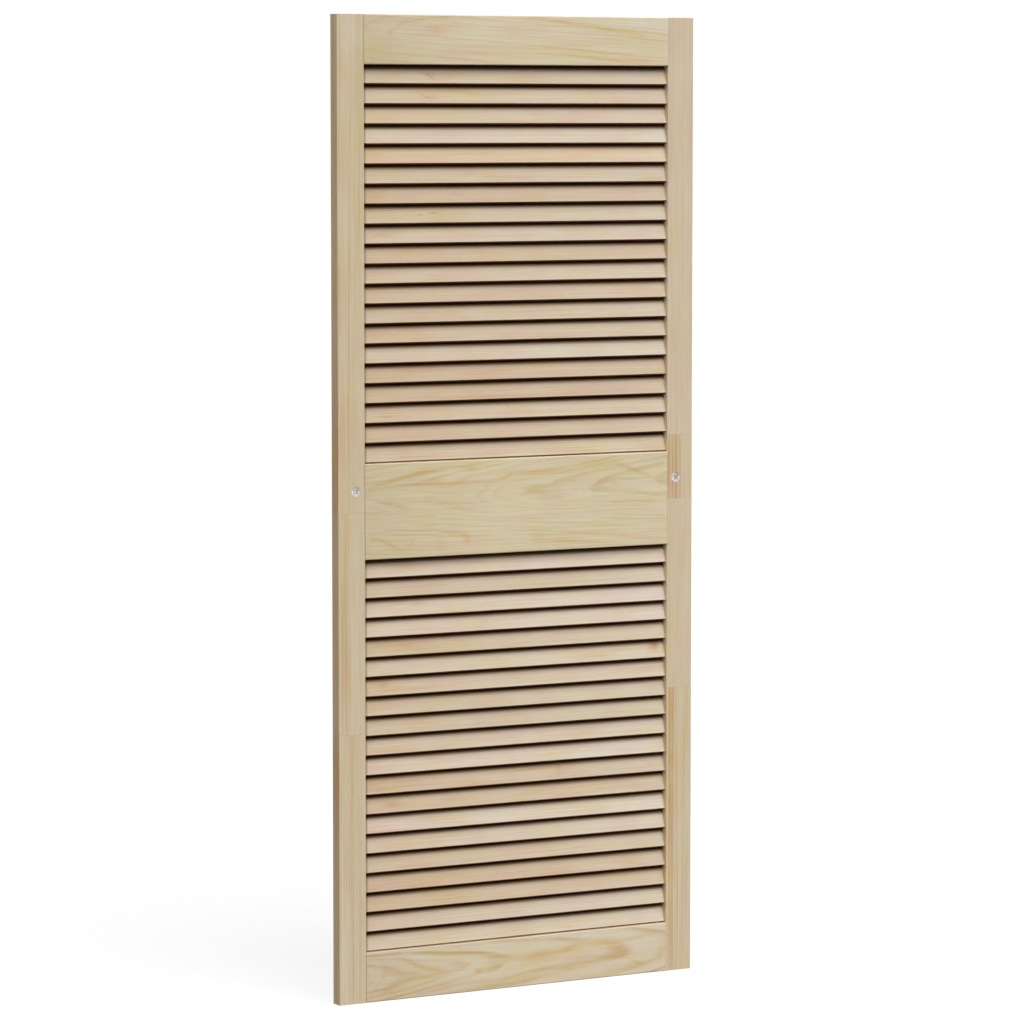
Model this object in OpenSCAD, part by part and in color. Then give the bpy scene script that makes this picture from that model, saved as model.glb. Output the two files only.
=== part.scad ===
// Closed louvre door of pine: two finger-jointed stiles, three rails, two panels of fixed slats.
// X runs across the face, Y from front to back, Z up. The origin is the middle of the bottom edge.

/* [Door] */
// Width over both stiles
door_w = 594; // [440:1:750]
// Height from the bottom edge to the top edge
door_h = 1422; // [1250:1:1600]
// Thickness of the stiles and rails
door_t = 21; // [20:0.5:28]

/* [Frame] */
// Width of each stile across its face
stile_w = 43.5; // [38:0.5:60]
// Height of the top rail
top_rail_h = 71; // [60:1:100]
// Height of the middle rail
middle_rail_h = 138; // [110:1:180]
// Height of the bottom rail
bottom_rail_h = 73; // [60:1:110]
// Radius on the long edges of the stiles and rails
edge_r = 1.5; // [0.5:0.1:3]

/* [Slats] */
// Slats in each of the two panels
slats_per_panel = 20; // [16:1:21]
// Thickness of a slat
slat_t = 5.5; // [4:0.1:7]
// Radius on the long edges of a slat
slat_edge_r = 1.2; // [0.5:0.1:1.8]
// Height by which a slat rises behind the nose of the slat above
slat_lap = 7; // [1:0.5:9]
// Depth from the front face to the noses of the slats
front_setback = 4; // [2:0.5:6]
// Depth from the back face to the upper edges of the slats
back_setback = 1.5; // [0.5:0.5:4]
// Depth of the housings in the stiles that hold the slat ends
housing_depth = 8; // [5:0.5:12]

/* [Finger joints] */
// Height of the lower glue line in the left stile
left_joint_low = 392; // [330:1:430]
// Depth of the left stile's upper glue line below the middle rail's centre line
left_joint_drop = 1; // [0:1:18]
// Height of the lowest glue line in the right stile
right_joint_low = 428; // [350:1:470]
// Depth of the right stile's middle glue line below the middle rail's centre line
right_joint_drop = 1; // [0:1:18]
// Height of the right stile's highest glue line above the middle rail's centre line
right_joint_rise = 94; // [70:1:200]
// Length of the fingers
finger_l = 10; // [6:1:14]
// Fingers across the thickness
finger_count = 5; // [3:1:7]
// Width of the blunt tip of a finger
finger_tip = 0.6; // [0.3:0.1:1]

/* [Dowels] */
// Diameter of a dowel
dowel_d = 8; // [6:1:10]
// Length of a dowel
dowel_l = 40; // [30:1:50]
// Bevel at the ends of a dowel
dowel_bevel = 1; // [0.5:0.5:2]
// Distance between the two dowels at each end of the top and bottom rails
dowel_spacing = 35; // [25:1:42]
// Depth of the middle rail's dowel below the rail's centre line
middle_dowel_drop = 30; // [20:1:40]

/* [Cam fittings] */
// Diameter of a cam
cam_d = 15; // [12:0.5:18]
// Depth of a cam
cam_h = 15; // [14.5:0.5:17]
// Distance from the inner edge of a stile to the centre of its cam
cam_inset = 15; // [13:0.5:20]
// Height of the cams above the middle rail's centre line
cam_rise = 30; // [20:1:45]
// Wall left round the hollow of a cam
cam_wall = 2.2; // [1.8:0.1:2.5]
// Diameter of the bolt's thread in the rail
bolt_thread_d = 6; // [5:0.5:7]
// Length of the bolt's thread in the rail
bolt_thread_l = 12; // [8:1:20]
// Diameter of the bolt's shank in the stile
bolt_shank_d = 7; // [5:0.5:7.5]
// Diameter of the bolt's neck, where the cam holds it
bolt_neck_d = 3.8; // [3:0.1:4.2]
// Diameter of the bolt's head
bolt_head_d = 6.2; // [5.5:0.1:6.5]
// Length of the bolt's head
bolt_head_l = 2.4; // [1.5:0.1:3]

/* [Clearances] */
// Gap between a slat and its housing, all round
slat_gap = 0.2; // [0.05:0.05:0.5]
// Gap between a slat and the bottom of its housing
slat_end_gap = 0.5; // [0.2:0.1:2]
// Gap under the lowest slat of a panel
slat_lift = 0.3; // [0.1:0.1:1]
// Gap between a dowel and its hole, all round
dowel_gap = 0.05; // [0.02:0.01:0.2]
// Space left beyond each end of a dowel
dowel_end_gap = 1; // [0.5:0.5:3]
// Gap between a cam and its bore, and between a bolt and its holes
fitting_gap = 0.1; // [0.05:0.05:0.3]

/* [Hidden] */
$fn = 64;

// Overrun of a cut past the face that it opens
over = 1;

left = -1;
right = 1;
inner_x = door_w / 2 - stile_w;
front_y = -door_t / 2;

panel_h = (door_h - top_rail_h - middle_rail_h - bottom_rail_h) / 2;
lower_panel_z = bottom_rail_h;
middle_rail_z = lower_panel_z + panel_h;
upper_panel_z = middle_rail_z + middle_rail_h;
top_rail_z = upper_panel_z + panel_h;

slat_pitch = panel_h / slats_per_panel;
slat_r = slat_t / 2;
slat_depth = door_t - front_setback - back_setback;
slat_height = slat_pitch + slat_lap;
slat_lean = settled_lean(60, 6);
slat_web = norm(slat_span(slat_lean));
slat_reach = corner_reach(slat_lean);
slat_len = 2 * (inner_x + housing_depth - slat_end_gap);
nose_y = front_y + front_setback + slat_reach;

finger_pitch = door_t / finger_count;

middle_rail_centre = middle_rail_z + middle_rail_h / 2;
left_joint_high = middle_rail_centre - left_joint_drop;
right_joint_middle = middle_rail_centre - right_joint_drop;
right_joint_high = middle_rail_centre + right_joint_rise;

top_dowel_z = pair_about(top_rail_z + top_rail_h / 2, dowel_spacing);
bottom_dowel_z = pair_about(bottom_rail_h / 2, dowel_spacing);
middle_dowel_z = [middle_rail_centre - middle_dowel_drop];

cam_z = middle_rail_centre + cam_rise;
cam_x = inner_x + cam_inset;
cam_r = cam_d / 2;
cam_hollow_r = cam_r - cam_wall;
cam_bevel = 0.4;
cam_track_w = bolt_neck_d + 2 * fitting_gap;
cam_mouth_d = bolt_head_d + 4 * fitting_gap;
cam_hollow_h = bolt_head_d + 2 * fitting_gap;
cam_turn = 110;
cam_lift = 0.2;
driver_l = 8;
driver_w = 1.6;
driver_depth = 3;
arrow_l = 2.4;
arrow_depth = 0.6;

bolt_shoulder = cam_inset - cam_hollow_r + fitting_gap;
bolt_shank_l = cam_inset - cam_r - 2 * fitting_gap;
bolt_bore_d = bolt_shank_d + 2 * fitting_gap;
thread_pitch = 1.5;
thread_depth = 0.7;
thread_turns = floor(bolt_thread_l / thread_pitch);
bolt_nose_bevel = 0.6;

pine = "burlywood";
pine_light = "wheat";
pine_warm = "tan";
slat_colours = ["bisque", "wheat", "navajowhite", "moccasin"];

// How far the corners of a slat's nose reach down, and forwards, from its centre
function corner_reach(lean) = slat_edge_r + (slat_r - slat_edge_r) * (sin(lean) + cos(lean));

// Run and rise between the centres of a slat's nose and upper edge
function slat_span(lean) =
    [slat_depth - 2 * corner_reach(lean), slat_height - 2 * corner_reach(lean)];

// The lean at which the corners just fill the depth and height given to a slat
function settled_lean(lean, tries) =
    tries == 0 ? lean : settled_lean(atan2(slat_span(lean)[1], slat_span(lean)[0]), tries - 1);

function pair_about(middle, spacing) = [middle - spacing / 2, middle + spacing / 2];
function two_digits(i) = str(i < 10 ? "0" : "", i);
function slat_name(panel, i) = str(panel, "_slat_", two_digits(i));

upper_slats = [for (i = [1:slats_per_panel]) slat_name("upper", i)];
lower_slats = [for (i = [1:slats_per_panel]) slat_name("lower", i)];
frame_pieces = [
    "left_stile_lower", "left_stile_middle", "left_stile_upper",
    "right_stile_lower", "right_stile_middle", "right_stile_cam_length", "right_stile_upper",
    "top_rail", "middle_rail", "bottom_rail",
    "top_rail_dowels", "middle_rail_dowels", "bottom_rail_dowels",
    "left_cam", "right_cam", "left_cam_bolt", "right_cam_bolt"
];

// Lays a flat shape upright: its x becomes depth, its y height, and it is drawn out along X
module across(length) {
    translate([-length / 2, 0, 0])
        rotate([90, 0, 90])
            linear_extrude(length)
                children();
}

// Section of a planed board with its four edges rounded
module board_section(w, h, r) {
    square([w - 2 * r, h], center = true);
    square([w, h - 2 * r], center = true);
    for (x = [-1, 1], y = [-1, 1])
        translate([x * (w / 2 - r), y * (h / 2 - r)])
            circle(r = r);
}

// Section of a slat, grown by a gap for its housing, with the origin at the centre of its nose
module slat_section(gap) {
    rotate(slat_lean)
        translate([slat_web / 2, 0])
            board_section(slat_web + slat_t + 2 * gap, slat_t + 2 * gap, slat_edge_r + gap);
}

// Height of the centre of a slat's nose, counted from the top of its panel
function nose_z(panel_z, i) =
    panel_z + (slats_per_panel - i) * slat_pitch + slat_lift + slat_reach;

module slat(panel_z, i) {
    color(slat_colours[i % len(slat_colours)])
        translate([0, nose_y, nose_z(panel_z, i)])
            across(slat_len)
                slat_section(0);
}

// Room for one slat, from the bottom of one housing to the bottom of the other
module slat_room(panel_z, i) {
    translate([0, nose_y, nose_z(panel_z, i)])
        across(2 * (inner_x + housing_depth))
            slat_section(slat_gap);
}

// Room for the slats that reach between two heights
module slat_rooms(from_z, to_z) {
    reach = slat_pitch + slat_lap + slat_t;
    for (panel_z = [lower_panel_z, upper_panel_z], i = [1:slats_per_panel]) {
        z = nose_z(panel_z, i);
        if (z > from_z - reach && z < to_z + reach)
            slat_room(panel_z, i);
    }
}

// Places its children at both joints of a rail, with X pointing into the stile
module at_joints(heights) {
    for (side = [left, right], z = heights)
        translate([side * inner_x, 0, z])
            rotate([0, side * 90, 0])
                children();
}

module dowel() {
    r = dowel_d / 2;
    half = dowel_l / 2;
    rotate_extrude()
        polygon([
            [0, -half], [r - dowel_bevel, -half], [r, -half + dowel_bevel],
            [r, half - dowel_bevel], [r - dowel_bevel, half], [0, half]
        ]);
}

module dowels(heights) {
    color(pine_light)
        at_joints(heights)
            dowel();
}

module dowel_holes(heights) {
    at_joints(heights)
        cylinder(d = dowel_d + 2 * dowel_gap, h = dowel_l + 2 * dowel_end_gap, center = true);
}

// Cam with its face at z = 0 and its centre at the origin; the rail lies towards +X
module cam_body() {
    difference() {
        union() {
            translate([0, 0, -cam_h + cam_lift])
                cylinder(r = cam_r, h = cam_h - cam_lift - cam_bevel);
            translate([0, 0, -cam_bevel])
                cylinder(r1 = cam_r, r2 = cam_r - cam_bevel, h = cam_bevel);
        }
        translate([0, 0, front_y])
            cam_hollow();
        cam_driver();
    }
}

// Hollow for the bolt's head, the track for its neck and the mouth that the head enters by
module cam_hollow() {
    cylinder(r = cam_hollow_r, h = cam_hollow_h, center = true);
    rotate([0, 0, -asin(cam_track_w / cam_d)])
        rotate_extrude(angle = cam_turn)
            translate([cam_hollow_r - cam_wall / 2, -cam_track_w / 2])
                square([cam_wall * 2, cam_track_w]);
    rotate([0, 0, cam_turn])
        rotate([0, 90, 0])
            cylinder(d = cam_mouth_d, h = cam_r + over);
}

// Cross recess for a screwdriver and the arrow that points to the mouth
module cam_driver() {
    for (turn = [0, 90])
        rotate([0, 0, turn + 45])
            translate([0, 0, (over - driver_depth) / 2])
                cube([driver_l, driver_w, driver_depth + over], center = true);
    rotate([0, 0, cam_turn])
        translate([cam_r - cam_bevel - arrow_l, 0, -arrow_depth])
            linear_extrude(arrow_depth + over)
                polygon([[0, arrow_l / 2], [arrow_l * 0.8, 0], [0, -arrow_l / 2]]);
}

// Both cams are alike, and each is turned to face the rail
module at_cam(side) {
    translate([side * cam_x, front_y, cam_z])
        rotate([90, side == left ? 0 : 180, 0])
            children();
}

module cam(side) {
    color("silver")
        at_cam(side)
            cam_body();
}

module cam_bores() {
    for (side = [left, right])
        at_cam(side)
            translate([0, 0, -cam_h])
                cylinder(d = cam_d + 2 * fitting_gap, h = cam_h + over);
}

// Bolt along Z, threaded below z = 0 and with its head held in the cam above
module bolt_shape() {
    thread_r = bolt_thread_d / 2;
    root_r = thread_r - thread_depth;
    thread_start = -thread_turns * thread_pitch;
    neck_r = bolt_neck_d / 2;
    shank_r = bolt_shank_d / 2;
    head_r = bolt_head_d / 2;
    head_end = bolt_shoulder + bolt_head_l;
    rotate_extrude()
        polygon(concat(
            [[0, thread_start - thread_pitch / 2]],
            [for (i = [0:thread_turns - 1], half = [0, 1])
                [half == 0 ? root_r : thread_r, thread_start + (i + half / 2) * thread_pitch]],
            [
                [root_r, 0], [shank_r, 0], [shank_r, bolt_shank_l],
                [neck_r, bolt_shank_l], [neck_r, bolt_shoulder], [head_r, bolt_shoulder],
                [head_r, head_end - bolt_nose_bevel], [head_r - bolt_nose_bevel, head_end],
                [0, head_end]
            ]
        ));
}

module cam_bolt(side) {
    color("gainsboro")
        translate([side * inner_x, 0, cam_z])
            rotate([0, side * 90, 0])
                bolt_shape();
}

// Hole for the thread in the rail and the wider one for the shank in the stile
module bolt_holes() {
    thread_hole = bolt_thread_l + thread_pitch / 2 + dowel_end_gap;
    at_joints([cam_z]) {
        translate([0, 0, -thread_hole])
            cylinder(d = bolt_thread_d + 2 * fitting_gap, h = thread_hole + over);
        cylinder(d = bolt_bore_d, h = cam_inset);
    }
}

// Side view of a finger joint, from front to back at one height
function finger_line(z) = concat(
    [[front_y - over, z], [front_y, z]],
    [for (i = [0:finger_count - 1], p = [
            [0.25 * finger_pitch - finger_tip / 2, finger_l / 2],
            [0.25 * finger_pitch + finger_tip / 2, finger_l / 2],
            [0.75 * finger_pitch - finger_tip / 2, -finger_l / 2],
            [0.75 * finger_pitch + finger_tip / 2, -finger_l / 2]
        ]) [front_y + i * finger_pitch + p[0], z + p[1]]],
    [[-front_y, z], [-front_y + over, z]]
);

function straight_line(z) = [[front_y - over, z], [-front_y + over, z]];

// The end of a length is straight where it is the end of the stile
function end_line(z) = z <= 0 || z >= door_h ? straight_line(z) : finger_line(z);

function reversed(list) = [for (i = [len(list) - 1:-1:0]) list[i]];

// One length of a stile between two heights, with its fingers and all its cuts
module stile_length(side, from_z, to_z) {
    difference() {
        intersection() {
            translate([side * (door_w - stile_w) / 2, 0, 0])
                linear_extrude(door_h)
                    board_section(stile_w, door_t, edge_r);
            across(door_w + 2 * over)
                polygon(concat(end_line(from_z), reversed(end_line(to_z))));
        }
        slat_rooms(from_z, to_z);
        dowel_holes(concat(top_dowel_z, middle_dowel_z, bottom_dowel_z));
        cam_bores();
        bolt_holes();
    }
}

// A rail from its lower edge up, butted between the stiles
module rail(z, h) {
    translate([0, 0, z + h / 2])
        across(2 * inner_x)
            board_section(door_t, h, edge_r);
}

module left_stile_lower() {
    color(pine)
        stile_length(left, 0, left_joint_low);
}

module left_stile_middle() {
    color(pine_light)
        stile_length(left, left_joint_low, left_joint_high);
}

module left_stile_upper() {
    color(pine)
        stile_length(left, left_joint_high, door_h);
}

module right_stile_lower() {
    color(pine_warm)
        stile_length(right, 0, right_joint_low);
}

module right_stile_middle() {
    color(pine_light)
        stile_length(right, right_joint_low, right_joint_middle);
}

module right_stile_cam_length() {
    color("peru")
        stile_length(right, right_joint_middle, right_joint_high);
}

module right_stile_upper() {
    color(pine)
        stile_length(right, right_joint_high, door_h);
}

module top_rail() {
    color(pine_light)
        difference() {
            rail(top_rail_z, top_rail_h);
            slat_room(upper_panel_z, 1);
            dowel_holes(top_dowel_z);
        }
}

module middle_rail() {
    color(pine_light)
        difference() {
            rail(middle_rail_z, middle_rail_h);
            slat_room(lower_panel_z, 1);
            dowel_holes(middle_dowel_z);
            bolt_holes();
        }
}

module bottom_rail() {
    color(pine_light)
        difference() {
            rail(0, bottom_rail_h);
            dowel_holes(bottom_dowel_z);
        }
}

left_stile_lower();
left_stile_middle();
left_stile_upper();
right_stile_lower();
right_stile_middle();
right_stile_cam_length();
right_stile_upper();
top_rail();
middle_rail();
bottom_rail();
dowels(top_dowel_z);  // top_rail_dowels
dowels(middle_dowel_z);  // middle_rail_dowels
dowels(bottom_dowel_z);  // bottom_rail_dowels
cam(left);  // left_cam
cam(right);  // right_cam
cam_bolt(left);  // left_cam_bolt
cam_bolt(right);  // right_cam_bolt
for (i = [1:slats_per_panel])
    slat(upper_panel_z, i);
for (i = [1:slats_per_panel])
    slat(lower_panel_z, i);
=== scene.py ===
import math
import random

import bpy
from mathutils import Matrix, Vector


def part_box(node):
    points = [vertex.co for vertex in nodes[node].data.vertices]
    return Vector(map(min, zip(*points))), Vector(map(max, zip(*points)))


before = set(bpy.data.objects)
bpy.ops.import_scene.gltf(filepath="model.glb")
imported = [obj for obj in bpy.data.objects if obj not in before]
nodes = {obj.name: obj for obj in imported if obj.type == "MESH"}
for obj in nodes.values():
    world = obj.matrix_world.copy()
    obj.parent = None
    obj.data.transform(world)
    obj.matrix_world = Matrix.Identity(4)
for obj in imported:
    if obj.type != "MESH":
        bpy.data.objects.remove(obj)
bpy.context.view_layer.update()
print("door loaded:", len(nodes), "nodes")

scene = bpy.context.scene
scene.view_settings.view_transform = "Standard"

# the door's own sizes, in mm, that the grain is laid out by
doorSizes = {
    "width": 594,
    "thickness": 21,
    "stileWidth": 43.5,
    "railMiddles": {"top_rail": 1386.5, "middle_rail": 712.0, "bottom_rail": 36.5},
    "slatRun": 9.21,
    "slatRise": 29.21,
}


def addNode(tree, kind, inputs=None, **settings):
    node = tree.nodes.new(kind)
    for name, value in settings.items():
        setattr(node, name, value)
    for key, value in (inputs or {}).items():
        plug(tree, node.inputs[key], value)
    return node


def plug(tree, socket, value):
    # a socket is linked, and anything else is its value
    if isinstance(value, bpy.types.NodeSocket):
        tree.links.new(value, socket)
    else:
        socket.default_value = value


def calc(tree, operation, *values, clamp=False):
    node = addNode(tree, "ShaderNodeMath", operation=operation, use_clamp=clamp)
    for socket, value in zip(node.inputs, values):
        plug(tree, socket, value)
    return node.outputs[0]


def plus(tree, total, *others):
    for other in others:
        total = calc(tree, "ADD", total, other)
    return total


def minus(tree, first, second):
    return calc(tree, "SUBTRACT", first, second)


def times(tree, product, *others):
    for other in others:
        product = calc(tree, "MULTIPLY", product, other)
    return product


def over(tree, first, second):
    return calc(tree, "DIVIDE", first, second)


def squareSum(tree, *values):
    return plus(tree, *[times(tree, value, value) for value in values])


def hill(tree, *offsets):
    # a bell curve, 1 in its middle
    return calc(tree, "EXPONENT", times(tree, squareSum(tree, *offsets), -1.0))


def ramp(tree, value, low, high, toLow=0.0, toHigh=1.0, smooth=True):
    node = addNode(tree, "ShaderNodeMapRange", {
        "Value": value, "From Min": low, "From Max": high, "To Min": toLow, "To Max": toHigh})
    node.interpolation_type = "SMOOTHSTEP" if smooth else "LINEAR"
    return node.outputs[0]


def vectorCalc(tree, operation, first, second, result=0):
    node = addNode(tree, "ShaderNodeVectorMath", {0: first, 1: second}, operation=operation)
    return node.outputs[result]


def dot(tree, vector, direction):
    return vectorCalc(tree, "DOT_PRODUCT", vector, direction, "Value")


def inMm(tree, place):
    return addNode(tree, "ShaderNodeVectorMath", {0: place, "Scale": 1000.0}, operation="SCALE").outputs[0]


def joined(tree, x, y, z):
    return addNode(tree, "ShaderNodeCombineXYZ", {0: x, 1: y, 2: z}).outputs[0]


def parted(tree, vector):
    return addNode(tree, "ShaderNodeSeparateXYZ", {0: vector}).outputs


def noiseOutputs(tree, place, scales, detail=2.0, roughness=0.5, shift=0.0):
    # place is in mm, and scales are what each direction is multiplied by before the look-up
    scaled = vectorCalc(tree, "MULTIPLY", place, scales)
    moved = vectorCalc(tree, "ADD", scaled, (shift, shift * 0.7, shift * 1.3))
    return addNode(tree, "ShaderNodeTexNoise", {
        "Vector": moved, "Scale": 1.0, "Detail": detail, "Roughness": roughness}).outputs


def noise(tree, place, look):
    return noiseOutputs(tree, place, **look)[0]


def noiseParts(tree, place, look):
    return parted(tree, noiseOutputs(tree, place, **look)["Color"])


def tinted(tree, factor, first, second, blend="MIX"):
    node = addNode(tree, "ShaderNodeMix", data_type="RGBA", blend_type=blend)
    plug(tree, node.inputs[0], factor)
    plug(tree, node.inputs[6], first)
    plug(tree, node.inputs[7], second)
    return node.outputs[2]


def stained(tree, amount, colour, stain):
    return tinted(tree, amount, colour, stain, "MULTIPLY")


def linear(red, green, blue):
    # screen colour, 0 to 255, to the linear one that the sockets take, by the usual screen curve
    def one(c):
        c = c / 255
        return c / 12.92 if c <= 0.04045 else ((c + 0.055) / 1.055) ** 2.4
    return (one(red), one(green), one(blue), 1.0)


def newMaterial(name):
    material = bpy.data.materials.new(name)
    material.use_nodes = True
    material.node_tree.nodes.clear()
    return material, material.node_tree


def addSurface(tree, colour, roughness, height, bumpStrength, others):
    # height is in mm
    bump = addNode(tree, "ShaderNodeBump", {"Strength": bumpStrength, "Distance": 0.001, "Height": height})
    shader = addNode(tree, "ShaderNodeBsdfPrincipled", {
        "Base Color": colour, "Roughness": roughness, "Normal": bump.outputs[0], **others})
    output = addNode(tree, "ShaderNodeOutputMaterial")
    tree.links.new(shader.outputs[0], output.inputs[0])


def dress(nodeName, material):
    for slot in nodes[nodeName].material_slots:
        slot.material = material


# what a board can set of its own, with the values for boards that don't
boardDefaults = {
    "Seed": 0.0, "Ring Width": 4.0, "Pith Across": 0.0, "Pith Deep": 40.0,
    "Tilt Across": 0.0, "Tilt Deep": 0.02, "Wander": 3.0, "Contrast": 0.5,
    "Stripe Centre": 0.0, "Stripe Spread": 10.0, "Stripe Strength": 0.0,
    "Mottle": 0.5, "Knot Along": 5000.0, "Knot Across": 0.0, "Knot Size": 5.0, "Knot Strength": 0.0,
}
# what all boards share: noise scales are per mm, and ramps run from low to high
grainLook = {
    "seedSteps": (531.7, 173.1, 3119.0),
    "slow": {"scales": (0.016, 0.016, 0.0034)},
    "quick": {"scales": (0.11, 0.11, 0.021), "shift": 31.0},
    "slowSwing": 2.0,
    "quickSwing": 0.3,
    "knotStretch": 2.4,
    "driftScale": 0.37,
    "drift": 1.6,
    "lateRise": (0.22, 0.84),
    "lateFall": (0.86, 1.0, 1.0, 0.0),
    "latePower": 1.6,
    "ringSeedStep": 7.13,
    "weakestRing": 0.35,
    "faded": {"scales": (0.07, 0.07, 0.011), "shift": 41.0},
    "fadedRamp": (0.34, 0.62, 0.3, 1.25),
    "fibre": {"scales": (2.4, 2.4, 0.045), "detail": 4.0, "roughness": 0.62, "shift": 7.0},
    "fibreShade": 0.16,
    "streak": {"scales": (0.5, 0.5, 0.0075), "detail": 3.0, "roughness": 0.55, "shift": 13.0},
    "streakShade": 0.26,
    "shadePowers": (1.08, 1.25),
    "mottle": {"scales": (0.045, 0.06, 0.013), "detail": 2.5, "shift": 3.0},
    "mottleRamps": ((0.42, 0.66), (0.44, 0.68)),
    "mottleColours": ((1.0, 0.925, 0.955, 1.0), (0.985, 0.975, 0.845, 1.0)),
    "dash": {"scales": (1.35, 1.35, 0.055), "detail": 1.0, "shift": 23.0},
    "dashRamp": (0.66, 0.74),
    "dashStrength": 0.22,
    "dashColour": (0.60, 0.44, 0.30, 1.0),
    "knotSpot": 0.5,
    "knotColour": (0.86, 0.62, 0.45, 1.0),
    "endRamp": (0.55, 0.9),
    "endColour": (0.80, 0.72, 0.62, 1.0),
    "roughness": {"plain": 0.50, "fibre": 0.22, "late": 0.10, "end": 0.18},
    "height": {"late": 0.012, "fibre": 0.05, "dash": 0.10},
    "bump": 0.6,
    "sheen": 0.35,
}


def addRings(tree, given, place, across, deep, along):
    # the trunk isn't straight, so the rings wander slowly along the board
    slowParts = noiseParts(tree, place, grainLook["slow"])
    quickParts = noiseParts(tree, place, grainLook["quick"])

    def wandered(axis, pith, tilt, slowPart, quickPart):
        offset = minus(tree, minus(tree, axis, pith), times(tree, along, tilt))
        slowSwing = times(tree, given["Wander"], grainLook["slowSwing"])
        quickSwing = times(tree, given["Wander"], grainLook["quickSwing"])
        return plus(tree, offset, times(tree, minus(tree, slowPart, 0.5), slowSwing),
                    times(tree, minus(tree, quickPart, 0.5), quickSwing))

    sideways = wandered(across, given["Pith Across"], given["Tilt Across"], slowParts[0], quickParts[0])
    inwards = wandered(deep, given["Pith Deep"], given["Tilt Deep"], slowParts[1], quickParts[1])
    radius = calc(tree, "SQRT", squareSum(tree, sideways, inwards))

    # a knot pushes the rings round itself
    knotLength = times(tree, given["Knot Size"], grainLook["knotStretch"])
    knotAlong = over(tree, minus(tree, along, given["Knot Along"]), knotLength)
    knotAcross = over(tree, minus(tree, across, given["Knot Across"]), given["Knot Size"])
    knot = times(tree, hill(tree, knotAlong, knotAcross), given["Knot Strength"])
    radius = plus(tree, radius, times(tree, knot, given["Knot Size"]))

    # rings aren't all as wide as each other
    rings = over(tree, radius, given["Ring Width"])
    driftPlace = plus(tree, times(tree, rings, grainLook["driftScale"]), given["Seed"])
    drift = addNode(tree, "ShaderNodeTexNoise", {"W": driftPlace, "Scale": 1.0, "Detail": 1.0},
                    noise_dimensions="1D")
    return plus(tree, rings, times(tree, drift.outputs[0], grainLook["drift"])), knot


def addLateWood(tree, given, place, across, rings):
    # late wood darkens slowly through a ring and ends at once, and some rings stay paler
    phase = calc(tree, "FRACT", rings)
    rise = ramp(tree, phase, *grainLook["lateRise"])
    fall = ramp(tree, phase, *grainLook["lateFall"])
    lateBand = times(tree, calc(tree, "POWER", rise, grainLook["latePower"]), fall)
    ringSeed = times(tree, given["Seed"], grainLook["ringSeedStep"])
    ringPlace = plus(tree, calc(tree, "FLOOR", rings), ringSeed)
    ringChance = addNode(tree, "ShaderNodeTexWhiteNoise", {"W": ringPlace}, noise_dimensions="1D")
    ringWeight = ramp(tree, ringChance.outputs[0], 0.0, 1.0, grainLook["weakestRing"], 1.0, smooth=False)

    # stripes stand out in one strip of the board, and weaken here and there
    fromStripe = over(tree, minus(tree, across, given["Stripe Centre"]), given["Stripe Spread"])
    contrast = plus(tree, given["Contrast"], times(tree, hill(tree, fromStripe), given["Stripe Strength"]))
    faded = noise(tree, place, grainLook["faded"])
    contrast = times(tree, contrast, ramp(tree, faded, *grainLook["fadedRamp"]))
    return lateBand, calc(tree, "MULTIPLY", times(tree, lateBand, ringWeight), contrast, clamp=True)


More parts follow.
